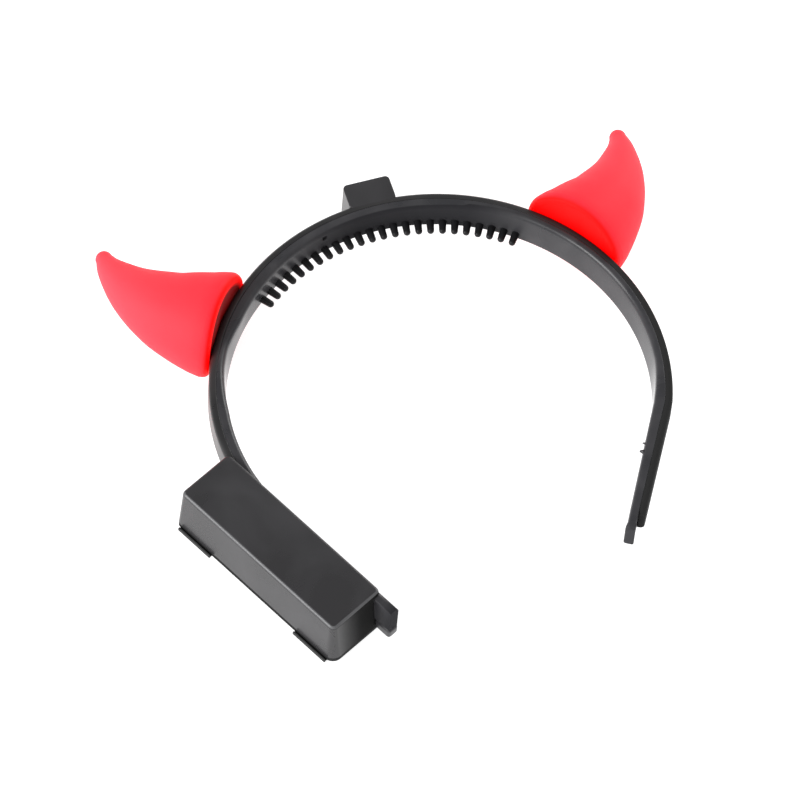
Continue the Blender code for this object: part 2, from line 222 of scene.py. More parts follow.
def roundedBox(bm, low, high, edge, segments, corner=0.0, cornerSegments=4):
    # block with rounded upright corners, then rounded edges all round
    older = set(bm.verts)
    made = bmesh.ops.create_cube(bm, size=1.0)["verts"]
    size = Vector(high) - Vector(low)
    bmesh.ops.scale(bm, vec=size, verts=made)
    bmesh.ops.translate(bm, vec=(Vector(low) + Vector(high)) / 2, verts=made)
    if corner:
        upright = {e for v in made for e in v.link_edges
                   if abs(e.verts[0].co.z - e.verts[1].co.z) > size.z / 2}
        bmesh.ops.bevel(bm, geom=list(upright), offset=corner, segments=cornerSegments, profile=0.5,
                        affect="EDGES", material=-1)
        made = [v for v in bm.verts if v not in older]
    rims = {e for v in made for e in v.link_edges if e.calc_face_angle(0) > radians(50)}
    bmesh.ops.bevel(bm, geom=list(rims), offset=edge, segments=segments, profile=0.5,
                    affect="EDGES", material=-1)


def draftedBlock(bm, lowFace, highFace):
    # walls from one outline up to the other; both outlines stay as caps
    bmesh.ops.bridge_loops(bm, edges=lowFace.edges[:] + highFace.edges[:])
    bmesh.ops.recalc_face_normals(bm, faces=bm.faces)


# Materials: one shared surface for the moulded plastics, and a soft red for the horns
def addNode(tree, kind, place, **values):
    node = tree.nodes.new(kind)
    node.location = place
    for key, value in values.items():
        setattr(node, key, value)
    return node


moulding = {
    "grainDetail": 4.0,
    "grainRoughness": 0.6,
    "grainShare": 0.5,
    "flowDetail": 3.0,
    "flowDistortion": 0.6,
    "flowRange": (0.35, 0.68),
    "scratchTurn": (0.4, 0.2, 0.7),
    "scratchStretch": (150.0, 2600.0, 2600.0),
    "scratchDetail": 2.0,
    "scratchCrest": (0.66, 0.76),
    "mattRoughness": 0.8,
}


def mouldedSurface():
    # grain, flow marks, fine scratches, painted edge highlights and painted shade (darker, rougher
    # places), shared by all plastics
    group = bpy.data.node_groups.new("mouldedSurface", "ShaderNodeTree")
    face = group.interface
    face.new_socket("Vector", in_out="INPUT", socket_type="NodeSocketVector")
    for name, value in (("Grain Scale", 2600.0), ("Flow Scale", 60.0), ("Scratch Amount", 0.2),
                        ("Painted Highlight", 0.0), ("Edge Light", 0.35), ("Gloss", 0.35),
                        ("Gloss Spread", 0.12), ("Painted Shade And Matt", 0.0)):
        socket = face.new_socket(name, in_out="INPUT", socket_type="NodeSocketFloat")
        socket.default_value = value
    for name in ("Tone", "Deep Tone", "Scratch And Highlight Tone", "Painted Shade Tone"):
        face.new_socket(name, in_out="INPUT", socket_type="NodeSocketColor")
    face.new_socket("Color", in_out="OUTPUT", socket_type="NodeSocketColor")
    face.new_socket("Roughness", in_out="OUTPUT", socket_type="NodeSocketFloat")
    face.new_socket("Height", in_out="OUTPUT", socket_type="NodeSocketFloat")

    link = group.links.new
    inward = addNode(group, "NodeGroupInput", (-1200, 0))
    outward = addNode(group, "NodeGroupOutput", (900, 0))
    grain = addNode(group, "ShaderNodeTexNoise", (-900, 300))
    grain.inputs["Detail"].default_value = moulding["grainDetail"]
    grain.inputs["Roughness"].default_value = moulding["grainRoughness"]
    link(inward.outputs["Vector"], grain.inputs["Vector"])
    link(inward.outputs["Grain Scale"], grain.inputs["Scale"])
    flow = addNode(group, "ShaderNodeTexNoise", (-900, 0))
    flow.inputs["Detail"].default_value = moulding["flowDetail"]
    flow.inputs["Distortion"].default_value = moulding["flowDistortion"]
    link(inward.outputs["Vector"], flow.inputs["Vector"])
    link(inward.outputs["Flow Scale"], flow.inputs["Scale"])

    # scratches: thin bright crests of a stretched noise
    stretch = addNode(group, "ShaderNodeMapping", (-1000, -350))
    stretch.inputs["Rotation"].default_value = moulding["scratchTurn"]
    stretch.inputs["Scale"].default_value = moulding["scratchStretch"]
    link(inward.outputs["Vector"], stretch.inputs["Vector"])
    hair = addNode(group, "ShaderNodeTexNoise", (-800, -350))
    hair.inputs["Scale"].default_value = 1.0
    hair.inputs["Detail"].default_value = moulding["scratchDetail"]
    link(stretch.outputs["Vector"], hair.inputs["Vector"])
    crest = addNode(group, "ShaderNodeValToRGB", (-600, -350))
    for element, position in zip(crest.color_ramp.elements, moulding["scratchCrest"]):
        element.position = position
    link(hair.outputs["Fac"], crest.inputs["Fac"])
    scratch = addNode(group, "ShaderNodeMath", (-300, -350), operation="MULTIPLY")
    link(crest.outputs["Color"], scratch.inputs[0])
    link(inward.outputs["Scratch Amount"], scratch.inputs[1])

    # painted edge highlights come in with the piece
    paintedHighlight = addNode(group, "ShaderNodeMath", (-300, -700), operation="MULTIPLY", use_clamp=True)
    link(inward.outputs["Painted Highlight"], paintedHighlight.inputs[0])
    link(inward.outputs["Edge Light"], paintedHighlight.inputs[1])

    ramp = addNode(group, "ShaderNodeMapRange", (-600, 0))
    ramp.inputs["From Min"].default_value = moulding["flowRange"][0]
    ramp.inputs["From Max"].default_value = moulding["flowRange"][1]
    link(flow.outputs["Fac"], ramp.inputs["Value"])
    tone = addNode(group, "ShaderNodeMix", (-300, 150), data_type="RGBA")
    link(ramp.outputs["Result"], tone.inputs["Factor"])
    link(inward.outputs["Deep Tone"], tone.inputs["A"])
    link(inward.outputs["Tone"], tone.inputs["B"])
    # lighter tone where the scratches and the painted edge highlights are
    marks = addNode(group, "ShaderNodeMath", (-100, -400), operation="MAXIMUM")
    link(scratch.outputs["Value"], marks.inputs[0])
    link(paintedHighlight.outputs["Value"], marks.inputs[1])
    scratchAndHighlight = addNode(group, "ShaderNodeMix", (100, 150), data_type="RGBA")
    link(marks.outputs["Value"], scratchAndHighlight.inputs["Factor"])
    link(tone.outputs["Result"], scratchAndHighlight.inputs["A"])
    link(inward.outputs["Scratch And Highlight Tone"], scratchAndHighlight.inputs["B"])
    # painted shade: these places are darker and rougher; below zero they are glossier
    darker = addNode(group, "ShaderNodeMix", (400, 150), data_type="RGBA")
    link(inward.outputs["Painted Shade And Matt"], darker.inputs["Factor"])
    link(scratchAndHighlight.outputs["Result"], darker.inputs["A"])
    link(inward.outputs["Painted Shade Tone"], darker.inputs["B"])
    link(darker.outputs["Result"], outward.inputs["Color"])

    # gloss: the grain and the flow marks both break it up
    mixed = addNode(group, "ShaderNodeMath", (-300, -100), operation="MULTIPLY_ADD")
    link(grain.outputs["Fac"], mixed.inputs[0])
    mixed.inputs[1].default_value = moulding["grainShare"]
    link(ramp.outputs["Result"], mixed.inputs[2])
    spread = addNode(group, "ShaderNodeMath", (100, -100), operation="MULTIPLY_ADD")
    link(mixed.outputs["Value"], spread.inputs[0])
    link(inward.outputs["Gloss Spread"], spread.inputs[1])
    link(inward.outputs["Gloss"], spread.inputs[2])
    rougher = addNode(group, "ShaderNodeMath", (400, -100), operation="MULTIPLY_ADD", use_clamp=True)
    link(inward.outputs["Painted Shade And Matt"], rougher.inputs[0])
    rougher.inputs[1].default_value = moulding["mattRoughness"]
    link(spread.outputs["Value"], rougher.inputs[2])
    link(rougher.outputs["Value"], outward.inputs["Roughness"])

    height = addNode(group, "ShaderNodeMath", (100, -300), operation="SUBTRACT")
    link(grain.outputs["Fac"], height.inputs[0])
    link(scratch.outputs["Value"], height.inputs[1])
    link(height.outputs["Value"], outward.inputs["Height"])
    return group


surfaceGroup = mouldedSurface()
grainTurn = (0.3, 0.5, 0.2)
bumpDepth = 0.1 * mm

# each plastic's lighter tone serves the scratches and the painted edge highlights; its darkest tone is
# painted shade
plastics = {
    "combPlastic": {
        "tone": (0.052, 0.051, 0.055, 1), "deep": (0.032, 0.032, 0.036, 1), "scratchAndHighlight": (0.14, 0.14, 0.15, 1),
        "paintedShade": (0.018, 0.018, 0.021, 1),
        "grain": 2600.0, "flow": 90.0, "scratch": 0.10, "edge": 0.5, "gloss": 0.24, "spread": 0.07,
        "bump": 0.03, "ior": 1.40,
    },
    # the pegs: a darker copy of the comb plastic, painted shade
    "shadedPegPlastic": {
        "tone": (0.012, 0.012, 0.014, 1), "deep": (0.007, 0.007, 0.008, 1), "scratchAndHighlight": (0.04, 0.04, 0.045, 1),
        "paintedShade": (0.006, 0.006, 0.007, 1),
        "grain": 2600.0, "flow": 90.0, "scratch": 0.05, "edge": 0.1, "gloss": 0.34, "spread": 0.08,
        "bump": 0.03, "ior": 1.36,
    },
    # the cover strip: a darker copy of the cover plastic, which is the same moulding, painted shade
    "shadedStripPlastic": {
        "tone": (0.030, 0.029, 0.030, 1), "deep": (0.018, 0.018, 0.019, 1), "scratchAndHighlight": (0.10, 0.10, 0.10, 1),
        "paintedShade": (0.020, 0.020, 0.020, 1),
        "grain": 2200.0, "flow": 80.0, "scratch": 0.10, "edge": 0.5, "gloss": 0.26, "spread": 0.06,
        "bump": 0.03, "ior": 1.44,
    },
    "coverPlastic": {
        "tone": (0.047, 0.046, 0.049, 1), "deep": (0.032, 0.031, 0.033, 1), "scratchAndHighlight": (0.12, 0.12, 0.125, 1),
        "paintedShade": (0.004, 0.004, 0.004, 1),
        "grain": 2200.0, "flow": 45.0, "scratch": 0.04, "edge": 1.0, "gloss": 0.25, "spread": 0.06,
        "bump": 0.03, "ior": 1.38,
    },
    "doorPlastic": {
        "tone": (0.016, 0.016, 0.017, 1), "deep": (0.010, 0.010, 0.011, 1), "scratchAndHighlight": (0.10, 0.10, 0.10, 1),
        "paintedShade": (0.008, 0.008, 0.008, 1),
        "grain": 1800.0, "flow": 50.0, "scratch": 0.08, "edge": 0.5, "gloss": 0.70, "spread": 0.08,
        "bump": 0.05, "ior": 1.38,
    },
}


def plasticMaterial(name):
    look = plastics[name]
    material = bpy.data.materials.new(name)
    material.use_nodes = True
    tree = material.node_tree
    shader = tree.nodes["Principled BSDF"]
    where = addNode(tree, "ShaderNodeTexCoord", (-900, 0))
    place = addNode(tree, "ShaderNodeMapping", (-700, 0))
    place.inputs["Rotation"].default_value = grainTurn
    surface = addNode(tree, "ShaderNodeGroup", (-450, 0), node_tree=surfaceGroup)
    for socket, key in (("Grain Scale", "grain"), ("Flow Scale", "flow"), ("Scratch Amount", "scratch"),
                        ("Edge Light", "edge"), ("Gloss", "gloss"), ("Gloss Spread", "spread"),
                        ("Tone", "tone"), ("Deep Tone", "deep"), ("Scratch And Highlight Tone", "scratchAndHighlight"),
                        ("Painted Shade Tone", "paintedShade")):
        surface.inputs[socket].default_value = look[key]
    bump = addNode(tree, "ShaderNodeBump", (-200, -250))
    bump.inputs["Strength"].default_value = look["bump"]
    bump.inputs["Distance"].default_value = bumpDepth
    link = tree.links.new
    link(where.outputs["Object"], place.inputs["Vector"])
    link(place.outputs["Vector"], surface.inputs["Vector"])
    # attributes of each piece: painted edge highlights, and painted shade that also makes the surface
    # rougher
    scratchAndHighlight = addNode(tree, "ShaderNodeAttribute", (-700, 300), attribute_name="scratchAndHighlight")
    link(scratchAndHighlight.outputs["Fac"], surface.inputs["Painted Highlight"])
    mattAndShade = addNode(tree, "ShaderNodeAttribute", (-700, 500), attribute_name="mattAndShade")
    link(mattAndShade.outputs["Fac"], surface.inputs["Painted Shade And Matt"])
    link(surface.outputs["Color"], shader.inputs["Base Color"])
    link(surface.outputs["Roughness"], shader.inputs["Roughness"])
    link(surface.outputs["Height"], bump.inputs["Height"])
    link(bump.outputs["Normal"], shader.inputs["Normal"])
    shader.inputs["IOR"].default_value = look["ior"]
    return material


softHorn = {
    "body": (0.93, 0.026, 0.042, 1),
    "thin": (1.0, 0.075, 0.100, 1),
    # the back colour is painted shade on the flat back and rim; the two emission colours below are painted
    # red light
    "back": (0.22, 0.0, 0.0, 1),
    "paintedGlow": (0.40, 0.004, 0.008, 1),
    "paintedBackGlow": (0.95, 0.0, 0.0, 1),
    "roughness": 0.55,
    "specular": 0.2,
    "subsurface": 0.25,
    "subsurfaceRadius": (1.0, 0.25, 0.2),
    "subsurfaceScale": 0.004,
    "skinScale": 1500.0,
    "skinDetail": 4.0,
    "cloudScale": 55.0,
    "cloudDetail": 3.0,
    "cloudMix": 0.18,
    "bump": 0.08,
    "roughnessSpread": 0.12,
    "ior": 1.42,
}


def hornMaterial():
    # soft translucent red, paler towards the tip; painted red light over the body, a painted shade colour
    # on the flat back and rim, and painted red light on the rim and on a lit flat back
    material = bpy.data.materials.new("softHorn")
    material.use_nodes = True
    tree = material.node_tree
    link = tree.links.new
    shader = tree.nodes["Principled BSDF"]
    where = addNode(tree, "ShaderNodeTexCoord", (-1100, 0))
    thin = addNode(tree, "ShaderNodeAttribute", (-1100, 300), attribute_name="lengthShare")
    clouds = addNode(tree, "ShaderNodeTexNoise", (-900, 0))
    clouds.inputs["Scale"].default_value = softHorn["cloudScale"]
    clouds.inputs["Detail"].default_value = softHorn["cloudDetail"]
    link(where.outputs["Object"], clouds.inputs["Vector"])
    skin = addNode(tree, "ShaderNodeTexNoise", (-900, -300))
    skin.inputs["Scale"].default_value = softHorn["skinScale"]
    skin.inputs["Detail"].default_value = softHorn["skinDetail"]
    link(where.outputs["Object"], skin.inputs["Vector"])
    amount = addNode(tree, "ShaderNodeMath", (-650, 200), operation="MULTIPLY_ADD", use_clamp=True)
    link(clouds.outputs["Fac"], amount.inputs[0])
    amount.inputs[1].default_value = softHorn["cloudMix"]
    link(thin.outputs["Fac"], amount.inputs[2])
    colour = addNode(tree, "ShaderNodeMix", (-400, 150), data_type="RGBA")
    colour.inputs["A"].default_value = softHorn["body"]
    colour.inputs["B"].default_value = softHorn["thin"]
    link(amount.outputs["Value"], colour.inputs["Factor"])
    flat = addNode(tree, "ShaderNodeAttribute", (-650, 450), attribute_name="flatBack")
    backed = addNode(tree, "ShaderNodeMix", (-200, 250), data_type="RGBA")
    backed.inputs["B"].default_value = softHorn["back"]
    link(flat.outputs["Fac"], backed.inputs["Factor"])
    link(colour.outputs["Result"], backed.inputs["A"])
    link(backed.outputs["Result"], shader.inputs["Base Color"])
    lit = addNode(tree, "ShaderNodeAttribute", (-650, 650), attribute_name="paintedBackGlow")
    paintedBodyGlow = addNode(tree, "ShaderNodeMix", (-400, 400), data_type="RGBA")
    paintedBodyGlow.inputs["A"].default_value = softHorn["paintedGlow"]
    paintedBodyGlow.inputs["B"].default_value = (0, 0, 0, 1)
    link(flat.outputs["Fac"], paintedBodyGlow.inputs["Factor"])
    paintedGlow = addNode(tree, "ShaderNodeMix", (-200, 500), data_type="RGBA")
    paintedGlow.inputs["B"].default_value = softHorn["paintedBackGlow"]
    link(lit.outputs["Fac"], paintedGlow.inputs["Factor"])
    link(paintedBodyGlow.outputs["Result"], paintedGlow.inputs["A"])
    link(paintedGlow.outputs["Result"], shader.inputs["Emission Color"])
    shader.inputs["Emission Strength"].default_value = 1.0
    rough = addNode(tree, "ShaderNodeMath", (-400, -150), operation="MULTIPLY_ADD")
    link(skin.outputs["Fac"], rough.inputs[0])
    rough.inputs[1].default_value = softHorn["roughnessSpread"]
    rough.inputs[2].default_value = softHorn["roughness"]
    link(rough.outputs["Value"], shader.inputs["Roughness"])
    bump = addNode(tree, "ShaderNodeBump", (-200, -350))
    bump.inputs["Strength"].default_value = softHorn["bump"]
    bump.inputs["Distance"].default_value = bumpDepth
    link(skin.outputs["Fac"], bump.inputs["Height"])
    link(bump.outputs["Normal"], shader.inputs["Normal"])
    shader.inputs["Subsurface Weight"].default_value = softHorn["subsurface"]
    shader.inputs["Subsurface Radius"].default_value = softHorn["subsurfaceRadius"]
    shader.inputs["Subsurface Scale"].default_value = softHorn["subsurfaceScale"]
    shader.inputs["Specular IOR Level"].default_value = softHorn["specular"]
    shader.inputs["IOR"].default_value = softHorn["ior"]
    return material


combPlastic = plasticMaterial("combPlastic")
shadedPegPlastic = plasticMaterial("shadedPegPlastic")
shadedStripPlastic = plasticMaterial("shadedStripPlastic")
coverPlastic = plasticMaterial("coverPlastic")
doorPlastic = plasticMaterial("doorPlastic")
hornPlastic = hornMaterial()
print("materials ready")

# Comb strip: the inner layer, with a well rounded top inner edge
combStrip = {
    "outer": 2.12 * mm,
    "earEnd": 49.1 * mm,
    "earStart": 43.5 * mm,
    "tongueEnd": 41.3 * mm,
    "topInnerRound": 1.5 * mm,
    "edgeRound": 0.35 * mm,
    "seamRound": 0.2 * mm,
    # the free end: a quarter round, how far it closes and lifts, its bulge and final pinch
    "endRound": 2.4 * mm,
    "endDrop": 0.92,
    "endLift": 0.5,
    "endBulge": 0.26 * mm,
    "endPinch": 0.6 * mm,
    "endSteps": 6,
    "sectionSegments": 5,
    "pinAngle": radians(106.0),
    "pinHeight": 7.2 * mm,
    "pinSize": 2.0 * mm,
    "pinDepth": 1.9 * mm,
    "pinInset": 0.04 * mm,
    "pinCorner": 0.6,
    # the inner face gets painted shade, darker and rougher, between these angles, where the pegs were
    # moulded
    "paintedShade": (radians(46), radians(66), radians(96), radians(122)),
    # and glossier past these
    "glossy": (radians(46), radians(137)),
    "gloss": 0.22,
    "glossFade": radians(10),
    "glossClear": 1.65 * mm,
    "innerReach": 0.7 * mm,
    "armReach": 20.0 * mm,
    "tongueShade": 0.6,
    "slope": 1.2 * mm,
    "slopeClear": 0.8 * mm,
    "slopes": ((radians(-20), radians(-8), radians(50), radians(75)),
               (radians(143), radians(152), radians(158), radians(172))),
}


def roundEnd(frames, strip):
    # the strip's width closes in a quarter round over the last bit of its length
    last = frames.pop()
    step = (last.translation - frames[-1].translation).normalized()
    along = last.col[0].to_3d()
    across = along.normalized()
    rounded = []
    for index in range(strip["endSteps"] + 1):
        angle = pi / 2 * index / strip["endSteps"]
        thinner = strip["endPinch"] * (1 - cos(angle)) ** 3 - strip["endBulge"] * sin(2 * angle)
        drop = strip["endRound"] * (1 - cos(angle)) * strip["endDrop"]
        place = last.translation - step * strip["endRound"] * (1 - sin(angle)) + across * thinner
        width = along - 2 * thinner * across
        placed = last.copy()
        placed.col[0] = (width.x, width.y, width.z, 0)
        placed.col[2] = (0, 0, headArc["width"] - drop, 0)
        placed.col[3] = (place.x, place.y, place.z + drop * strip["endLift"], 1)
        rounded.append(placed)
    return frames + rounded


def cutPinHole(bm):
    # a moulded pin recess in the inner face of the strip
    half = combStrip["pinSize"] / 2
    for height in (combStrip["pinHeight"] - half, combStrip["pinHeight"] + half):
        geom = bm.verts[:] + bm.edges[:] + bm.faces[:]
        bmesh.ops.bisect_plane(bm, geom=geom, plane_co=(0, 0, height), plane_no=(0, 0, 1))
    place, normal = arcPoint(combStrip["pinAngle"], headArc["crownThickness"])
    place.z = combStrip["pinHeight"]
    seat = min(bm.faces, key=lambda f: (f.calc_center_median() - place).length)
    bmesh.ops.inset_individual(bm, faces=[seat], thickness=combStrip["pinInset"], depth=0)
    bmesh.ops.bevel(bm, geom=seat.verts[:], offset=combStrip["pinCorner"] * half, segments=4,
                    profile=0.5, affect="VERTICES", material=-1)
    seat = min(bm.faces, key=lambda f: (f.calc_center_median() - place).length)
    floor = growCap(bm, seat, False)
    bmesh.ops.translate(bm, vec=normal * combStrip["pinDepth"], verts=floor.verts[:])


def rampBetween(angle, stops):
    # up from the first stop to the second, down from the third to the fourth
    first, full, last, end = stops
    return min((angle - first) / (full - first), (end - angle) / (end - last), 1.0)


def shadeComb(bm):
    # painted shade, darker and rougher, behind the pegs, on the ear and on the tongue's end; glossier down
    # both arms
    mattAndShade = bm.verts.layers.float.new("mattAndShade")
    toArm, toFreeArm = armFrame("left").inverted(), armFrame("right").inverted()
    innerFace = headArc["radius"] - headArc["crownThickness"] + combStrip["innerReach"]
    rightStart, leftStart = combStrip["glossy"]
    for vert in bm.verts:
        angle, reach = arcPlace(vert.co)
        paintedShade = rampBetween(angle, combStrip["paintedShade"])
        if reach < innerFace and paintedShade > 0:
            vert[mattAndShade] = paintedShade
        elif reach < innerFace and vert.co.z < headArc["width"] - combStrip["glossClear"]:
            past = max(rightStart - angle, angle - leftStart) / combStrip["glossFade"]
            vert[mattAndShade] = -combStrip["gloss"] * clamp(past)
        onArm = toArm @ vert.co
        if onArm.x > combStrip["earStart"] and abs(onArm.y) < combStrip["armReach"]:
            vert[mattAndShade] = 1.0
        onFreeArm = toFreeArm @ vert.co
        pastTongue = (onFreeArm.x - combStrip["tongueEnd"]) / combStrip["endRound"] + 1
        if pastTongue > 0 and abs(onFreeArm.y) < combStrip["armReach"]:
            vert[mattAndShade] = combStrip["tongueShade"] * pastTongue


def slopeInnerFace(bm):
    # along both sides of the arc the inner face leans outwards to its top
    innerHalf = headArc["radius"] - combStrip["outer"] - combStrip["slopeClear"]
    for vert in bm.verts:
        angle, reach = arcPlace(vert.co)
        share = max(rampBetween(angle, stops) for stops in combStrip["slopes"])
        if reach < innerHalf and share > 0:
            normal = arcPoint(angle)[1]
            vert.co += normal * combStrip["slope"] * share * vert.co.z / headArc["width"]


def makeCombStrip():
    bm = bmesh.new()
    depth = headArc["armThickness"] - combStrip["outer"]
    seam, small = combStrip["seamRound"], combStrip["edgeRound"]
    corners = {(True, True): seam, (True, False): seam, (False, True): small,
               (False, False): combStrip["topInnerRound"]}
    face = sectionFace(bm, depth, corners, combStrip["sectionSegments"])
    path = bandPath(combStrip["earEnd"], combStrip["tongueEnd"])
    sweep(bm, face, roundEnd(sectionFrames(path, combStrip["outer"]), combStrip))
    cutPinHole(bm)
    shadeComb(bm)
    slopeInnerFace(bm)
    finishPiece("combStrip", bm, combPlastic, ["comb_band"])


makeCombStrip()

# Comb pegs: round-ended, a little tapered, on the lower half of the inner face
combPegs = {
    "count": 24,
    "first": radians(129.6),
    "last": radians(52.0),
    "rootRadius": 1.15 * mm,
    "tipRadius": 0.95 * mm,
    "tipRound": 0.9,
    "tip": 55.7 * mm,
    "height": 1.75 * mm,
    "sink": 0.3 * mm,
    "sides": 16,
}


def makeCombPegs():
    # one peg with a rounded tip, then a copy at each place
    bm = bmesh.new()
    length = headArc["radius"] - headArc["crownThickness"] + combPegs["sink"] - combPegs["tip"]
    bmesh.ops.create_cone(bm, cap_ends=True, segments=combPegs["sides"], depth=length,
                          radius1=combPegs["rootRadius"], radius2=combPegs["tipRadius"])
    rim = [e for e in bm.edges if min(v.co.z for v in e.verts) > length / 4]
    bmesh.ops.bevel(bm, geom=rim, offset=combPegs["tipRadius"] * combPegs["tipRound"], segments=4,
                    profile=0.5, affect="EDGES", material=-1)
    pegVerts = bm.verts[:]
    peg = pegVerts + bm.edges[:] + bm.faces[:]
    spread = combPegs["last"] - combPegs["first"]
    for index in range(combPegs["count"]):
        angle = combPegs["first"] + spread * index / (combPegs["count"] - 1)
        root, normal = arcPoint(angle, headArc["crownThickness"] - combPegs["sink"])
        turn = (-normal).to_track_quat("Z", "Y").to_matrix().to_4x4()
        seat = Matrix.Translation(root + Vector((0, 0, combPegs["height"])) - normal * length / 2)
        copied = bmesh.ops.duplicate(bm, geom=peg)["geom"]
        verts = [part for part in copied if isinstance(part, bmesh.types.BMVert)]
        bmesh.ops.transform(bm, matrix=seat @ turn, verts=verts)
    bmesh.ops.delete(bm, geom=pegVerts, context="VERTS")
    finishPiece("combPegs", bm, shadedPegPlastic, ["comb_band"], 50)


makeCombPegs()

# Ear foot: rounded lip under the end of the strip, past the box
earFoot = {
    "start": 43.7 * mm,
    "end": 49.5 * mm,
    "outer": 1.75 * mm,
    "inner": 5.4 * mm,
    "low": -3.3 * mm,
    "high": 0.4 * mm,
    "round": 0.9 * mm,
}


def makeEarFoot():
    bm = bmesh.new()
    roundedBox(bm, (earFoot["start"], earFoot["outer"], earFoot["low"]),
               (earFoot["end"], earFoot["inner"], earFoot["high"]), earFoot["round"], 4)
    bm.transform(armFrame("left"))
    finishPiece("earFoot", bm, combPlastic, ["comb_band"])


makeEarFoot()

# Nubs on the inner side of the free arm
armNubs = {
    # distance along the arm, size
    "places": ((16.1 * mm, 0.7), (13.4 * mm, 0.42)),
    "length": 0.95 * mm,
    "rootRadius": 1.0 * mm,
    "tipShare": 0.3,
    "sink": 0.2 * mm,
    "height": 8.6 * mm,
}


def makeArmNubs():
    # small pointed gate marks
    bm = bmesh.new()
    arm = armFrame("right")
    inward = arm.to_3x3() @ Vector((0, 1, 0))
    turn = inward.to_track_quat("Z", "Y").to_matrix().to_4x4()
    for along, size in armNubs["places"]:
        radius, length = armNubs["rootRadius"] * size, armNubs["length"] * size
        cone = bmesh.ops.create_cone(bm, cap_ends=True, segments=12, depth=length + 2 * armNubs["sink"],
                                     radius1=radius, radius2=radius * armNubs["tipShare"])["verts"]
        out = headArc["armThickness"] + length / 2 - armNubs["sink"]
        seat = arm @ Vector((along, out, armNubs["height"]))
        bmesh.ops.transform(bm, matrix=Matrix.Translation(seat) @ turn, verts=cone)
    finishPiece("armNubs", bm, combPlastic, ["comb_band"], 60)


makeArmNubs()
print("comb strip, pegs, foot and nubs ready")

# Cover: outer layer, crown lug and battery housing are one moulding
coverStrip = {
    "wall": 2.1 * mm,
    "end": 36.0 * mm,
    "topRound": 1.4 * mm,
    "footRound": 1.7 * mm,
    "seamRound": 0.2 * mm,
    "sectionSegments": 4,
    "endRound": 3.0 * mm,
    "endDrop": 0.92,
    "endLift": 0.8,
    "endBulge": 0.0,
    "endPinch": 0.4 * mm,
    "endSteps": 6,
    "shadeFrom": radians(60),
    "shadeOver": radians(30),
}


def makeCoverStrip():
    bm = bmesh.new()
    seam = coverStrip["seamRound"]
    corners = {(True, True): coverStrip["footRound"], (True, False): coverStrip["topRound"],
               (False, True): seam, (False, False): seam}
    face = sectionFace(bm, coverStrip["wall"], corners, coverStrip["sectionSegments"])
    path = bandPath(combStrip["earEnd"], coverStrip["end"], headArc["armSteps"])
    sweep(bm, face, roundEnd(sectionFrames(path, 0.0, coverStrip["wall"]), coverStrip))
    # painted shade: the outer layer gets darker and rougher towards the free end
    mattAndShade = bm.verts.layers.float.new("mattAndShade")
    for vert in bm.verts:
        if vert.co.x > 0:
            angle = arcPlace(vert.co)[0]
            vert[mattAndShade] = clamp((coverStrip["shadeFrom"] - angle) / coverStrip["shadeOver"])
    finishPiece("coverStrip", bm, shadedStripPlastic, ["outer_cover"])


makeCoverStrip()

crownLug = {
    "centre": -0.45 * mm,
    "width": 13.6 * mm,
    "outer": 69.18 * mm,
    "inner": 61.2 * mm,
    "low": -2.4 * mm,
    "topStep": 0.02 * mm,
    "corner": 1.3 * mm,
    "edge": 0.35 * mm,
}


def makeCrownLug():
    bm = bmesh.new()
    half = crownLug["width"] / 2
    roundedBox(bm, (crownLug["centre"] - half, crownLug["inner"], crownLug["low"]),
               (crownLug["centre"] + half, crownLug["outer"], headArc["width"] - crownLug["topStep"]),
               crownLug["edge"], 3, crownLug["corner"], 5)
    finishPiece("crownLug", bm, coverPlastic, ["outer_cover"])


makeCrownLug()

batteryBox = {
    "top": {"x": (-16.9 * mm, 42.4 * mm), "y": (-13.4 * mm, 4.85 * mm), "height": 11.3 * mm},
    "foot": {"x": (-17.2 * mm, 43.9 * mm), "y": (-14.1 * mm, 4.85 * mm), "height": -4.05 * mm},
    "topCorner": 1.0 * mm,
    "rimCorner": 1.6 * mm,
    "capInset": 0.3 * mm,
    "nearCorner": 3.0 * mm,
    "farCorner": 1.4 * mm,
    "edge": 1.05 * mm,
    "doorTop": -4.25 * mm,
    "doorFoot": -5.8 * mm,
    "doorEdge": 0.3 * mm,
    # the painted highlight line runs this share of the edge below the top
    "highlightShare": 0.29,
    "highlightReach": 0.25 * mm,
    "highlightElsewhere": 0.12,
    # the near end's painted shade: below the edge, clear of the outer corner
    "shadeBelow": 0.6 * mm,
    "shadeClear": 1.8 * mm,
    "shadeOuter": 0.1,
    "shadeInner": 1.6,
}
doorLedge = {
    "starts": (-15.6 * mm, 29.3 * mm),
    "length": 12.4 * mm,
    "outer": -15.2 * mm,
    "bar": 0.6 * mm,
    "low": -5.7 * mm,
    "high": -4.6 * mm,
    "plate": -5.15 * mm,
    "plateWidth": 1.8 * mm,
    "plateInset": 0.04 * mm,
    "highlightWidth": 0.66 * mm,
    "edge": 0.18 * mm,
}


def footOutline(bm, height):
    corners = {(True, True): batteryBox["farCorner"], (False, True): batteryBox["nearCorner"],
               (True, False): batteryBox["topCorner"], (False, False): batteryBox["topCorner"]}
    foot = batteryBox["foot"]
    return roundedOutline(bm, (foot["x"], foot["y"]), height, corners)


